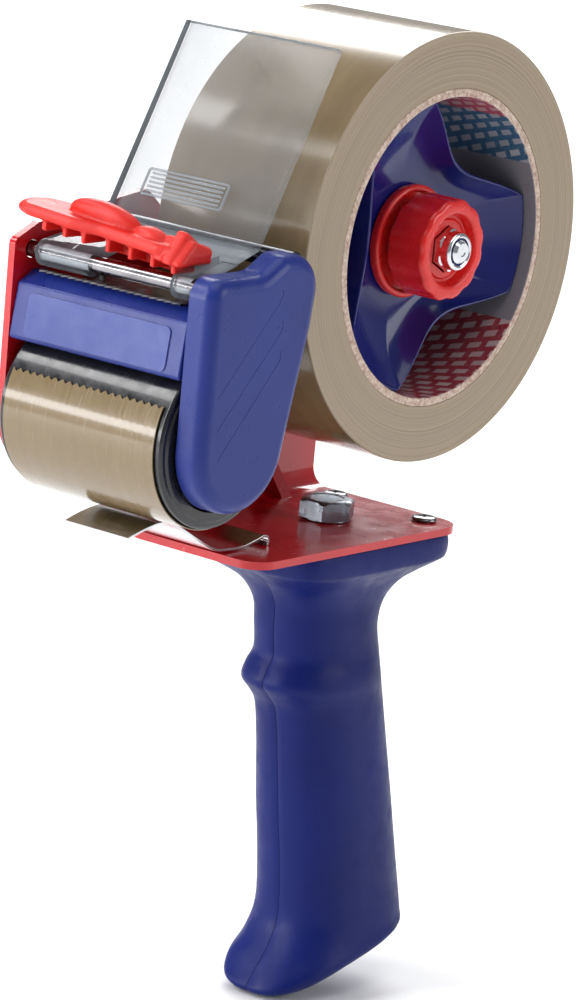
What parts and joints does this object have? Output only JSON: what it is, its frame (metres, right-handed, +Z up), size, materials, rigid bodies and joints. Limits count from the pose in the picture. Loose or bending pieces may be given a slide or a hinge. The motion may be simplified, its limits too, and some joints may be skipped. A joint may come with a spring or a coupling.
{
  "type": "tape gun dispenser",
  "caption": "Hand-held packing tape dispenser: pistol grip, bent steel frame, braked tape hub, rubber roller, serrated blade, clear hinged flap",
  "frame": {"origin": "middle of the grip, on the handle's parting plane, which is also the middle of the tape's width", "axes": "+X back towards the tape roll, -Y the side with the plastic cover and brake knob, +Z up, square to the base plate"},
  "size_m": [0.1598, 0.0693, 0.2539],
  "materials": {
    "red_paint": "glossy red powder coat",
    "red_plastic": "glossy red moulded plastic",
    "clear_red": "slightly translucent red moulded plastic",
    "blue_plastic": "fine spark-eroded blue moulded plastic",
    "blue_gloss": "glossy dark blue moulded plastic",
    "chrome": "bright nickel or zinc plated steel",
    "steel": "plain zinc plated steel",
    "black_steel": "black oxide steel bar",
    "rubber": "black rubber sleeve",
    "black_plastic": "black moulded plastic",
    "core_board": "wound paper board with plain printed bands inside",
    "tan_tape": "brown polypropylene packing tape, wound",
    "tan_film": "one layer of brown polypropylene packing tape",
    "clear_plastic": "clear acrylic sheet"
  },
  "bodies": {
    "body": {"frame": "red_paint", "handle_half_near": "blue_plastic", "handle_half_far": "blue_plastic", "handle_bolt": "chrome", "handle_nut": "steel", "handle_screw_1": "steel", "handle_screw_2": "steel", "plate_screw_near": "steel", "plate_screw_far": "steel", "axle_bolt": "chrome", "axle_jam_nut": "steel", "hub_washer": "steel", "brake_flange": "red_plastic", "brake_spring": "steel", "roller_axle": "steel", "roller_screw": "steel", "side_cover": "blue_plastic", "blade_guard": "blue_plastic", "guard_screw": "steel", "blade": "chrome", "blade_screw_near": "steel", "blade_screw_far": "steel", "front_rod": "chrome", "guide_bar": "black_steel", "guide_bar_screw": "steel", "tape_web": "tan_film"},
    "tape_hub": {"hub": "blue_gloss", "tape_core": "core_board", "tape_roll": "tan_tape"},
    "roller": {"roller_core": "black_plastic", "roller_sleeve": "rubber"},
    "brake_slide": {"spring_washer": "steel"},
    "knob": {"brake_knob": "red_plastic", "axle_nut": "chrome"},
    "flap": {"clear_flap": "clear_plastic", "safety_lip": "clear_red"},
    "clamp": {"tape_clamp": "chrome"}
  },
  "joints": [
    {"name": "roll_spin", "type": "hinge", "parent": "body", "child": "tape_hub", "pos_m": [-0.003, 0, 0.141], "axis": [0, 1, 0], "continuous": true},
    {"name": "roller_spin", "type": "hinge", "parent": "body", "child": "roller", "pos_m": [-0.0863, 0, 0.1007], "axis": [0, 1, 0], "continuous": true},
    {"name": "brake_travel", "type": "slide", "parent": "body", "child": "brake_slide", "axis": [0, 1, 0], "range_m": [-0.001, 0.0005], "deforming": ["brake_spring"]},
    {"name": "knob_turn", "type": "hinge", "parent": "brake_slide", "child": "knob", "pos_m": [-0.003, 0, 0.141], "axis": [0, 1, 0], "range_deg": [-360, 180]},
    {"name": "flap_swing", "type": "hinge", "parent": "body", "child": "flap", "pos_m": [-0.098, 0, 0.1386], "axis": [0, -1, 0], "range_deg": [0, 30]},
    {"name": "clamp_flex", "type": "hinge", "parent": "body", "child": "clamp", "pos_m": [-0.063, 0, 0.0674], "axis": [0, -1, 0], "range_deg": [0, 5], "stiffness_Nm_per_rad": 0.1, "springref_deg": -5.73}
  ],
  "couplings": [
    {"joint": "roller_spin", "follows": "roll_spin", "ratio": -2.5231},
    {"joint": "knob_turn", "follows": "brake_travel", "rad_per_m": 6283.2}
  ]
}
